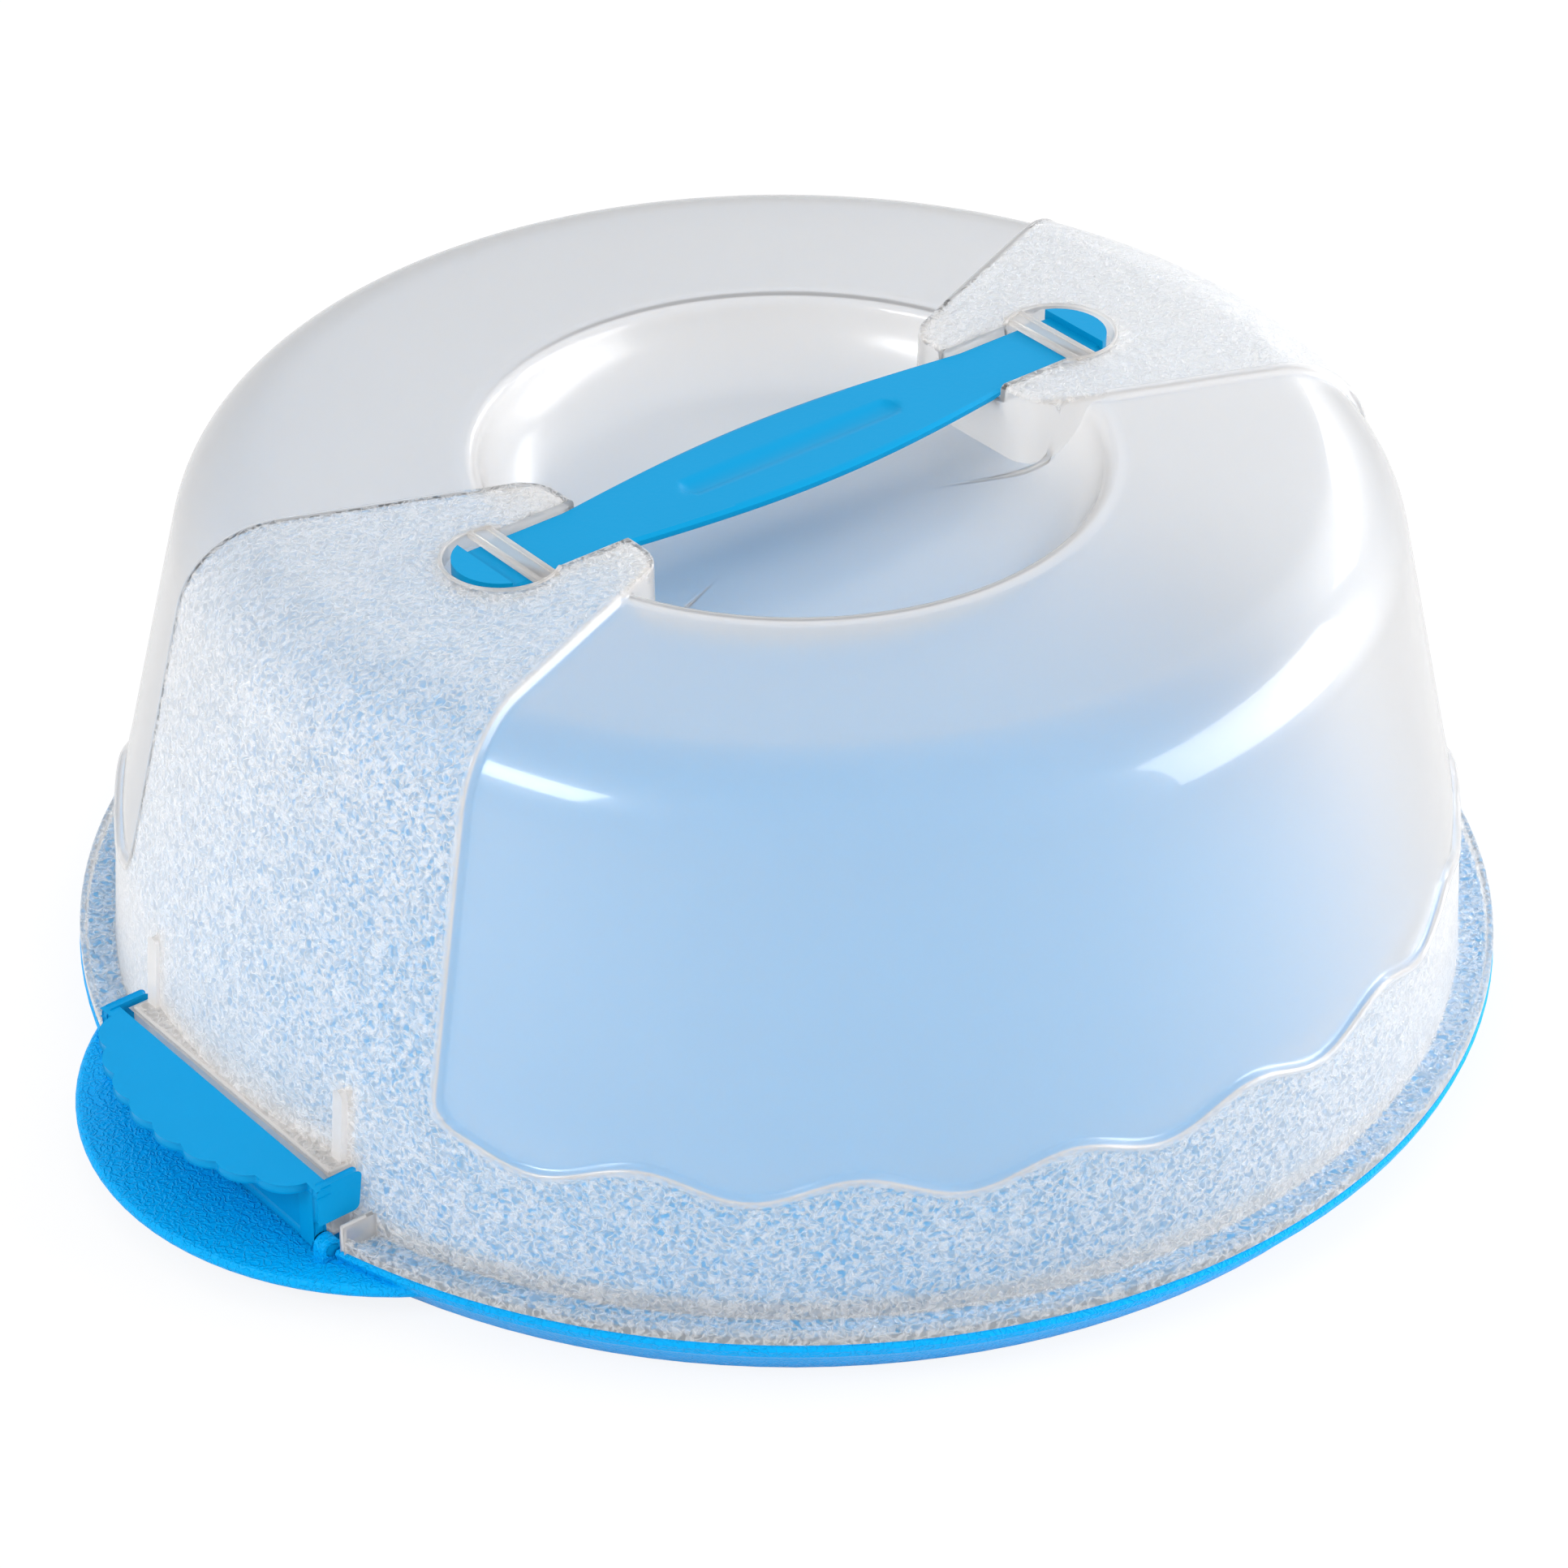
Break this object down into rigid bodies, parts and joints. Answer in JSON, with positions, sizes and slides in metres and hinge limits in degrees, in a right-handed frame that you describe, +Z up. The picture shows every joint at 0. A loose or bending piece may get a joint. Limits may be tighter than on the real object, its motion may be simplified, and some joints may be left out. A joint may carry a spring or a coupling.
{
  "type": "round cake carrier",
  "caption": "Round cake carrier: a shallow tray with finger lugs, a domed clear lid with grained panels, a hinged latch at each end and a strap handle on top.",
  "frame": {"origin": "on the table under the centre of the round tray", "axes": "+Z up, +X along the handle strap and through both latches, +Y across them; metres"},
  "size_m": [0.3744, 0.337, 0.1363],
  "materials": {
    "tray_blue": "moulded polypropylene, bright blue, satin, fine leather grain on the lugs",
    "lid_clear": "natural translucent polypropylene, glossy windows between wrinkle-grained panels",
    "latch_blue": "moulded polypropylene, bright blue, semi-gloss",
    "strap_blue": "moulded polypropylene, bright blue, semi-gloss"
  },
  "bodies": {
    "tray": {"base_tray": "tray_blue"},
    "lid": {"dome_lid": "lid_clear", "lip_front": "lid_clear", "lip_back": "lid_clear", "shelf_left": "lid_clear", "shelf_right": "lid_clear"},
    "left_latch": {"latch_left": "latch_blue"},
    "right_latch": {"latch_right": "latch_blue"},
    "handle": {"strap_grip": "strap_blue", "strap_end_left": "strap_blue", "strap_end_right": "strap_blue"}
  },
  "joints": [
    {"name": "lid_lift", "type": "slide", "parent": "tray", "child": "lid", "axis": [0, 0, 1], "range_m": [0, 0.15]},
    {"name": "left_latch_hinge", "type": "hinge", "parent": "tray", "child": "left_latch", "pos_m": [-0.1629, 0, 0.012], "axis": [0, -1, 0], "range_deg": [0, 45]},
    {"name": "right_latch_hinge", "type": "hinge", "parent": "tray", "child": "right_latch", "pos_m": [0.1629, 0, 0.012], "axis": [0, 1, 0], "range_deg": [0, 45]},
    {"name": "handle_lift", "type": "slide", "parent": "lid", "child": "handle", "axis": [0, 0, 1], "range_m": [0, 0.02], "deforming": ["strap_end_left", "strap_end_right"]}
  ]
}
